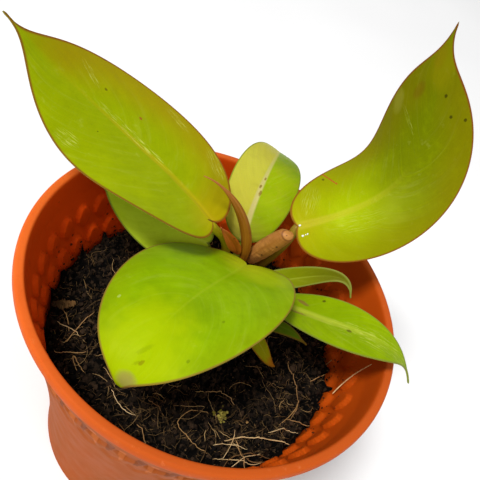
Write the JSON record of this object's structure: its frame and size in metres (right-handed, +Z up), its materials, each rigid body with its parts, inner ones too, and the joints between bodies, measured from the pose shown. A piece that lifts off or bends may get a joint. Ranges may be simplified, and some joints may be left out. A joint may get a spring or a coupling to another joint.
{
  "type": "potted philodendron",
  "caption": "Young potted philodendron with golden leaves on short stalks, a rolled new leaf and dry sheaths, in soil in a round moulded pot with a rolled rim.",
  "frame": {"origin": "centre of the pot's flat underside", "axes": "+Z up along the pot's axis, -Y towards the side the picture was taken from, +X to the right of that side"},
  "size_m": [0.1946, 0.1648, 0.2381],
  "materials": {
    "pot_plastic": "satin moulded plastic",
    "potting_soil": "loose and crumbly",
    "stem": "smooth, slightly ribbed",
    "leaf_gold": "waxy, half gloss",
    "leaf_green": "waxy, half gloss",
    "leaf_yellow": "dull, fading",
    "new_leaf": "half gloss",
    "dry_sheath": "dry, matt",
    "bark": "rough"
  },
  "bodies": {
    "root": {"pot": "pot_plastic", "soil": "potting_soil", "crown": "stem", "leaf_left": "leaf_gold", "leaf_right": "leaf_gold", "leaf_front": "leaf_gold", "leaf_back": "leaf_gold", "leaf_left_low": "leaf_green", "leaf_right_small": "leaf_gold", "leaf_right_low": "leaf_gold", "leaf_small_green": "leaf_green", "leaf_small_yellow": "leaf_yellow", "new_leaf": "new_leaf", "sheath_brown": "dry_sheath", "sheath_red": "dry_sheath", "bark_chip": "bark"}
  },
  "joints": []
}
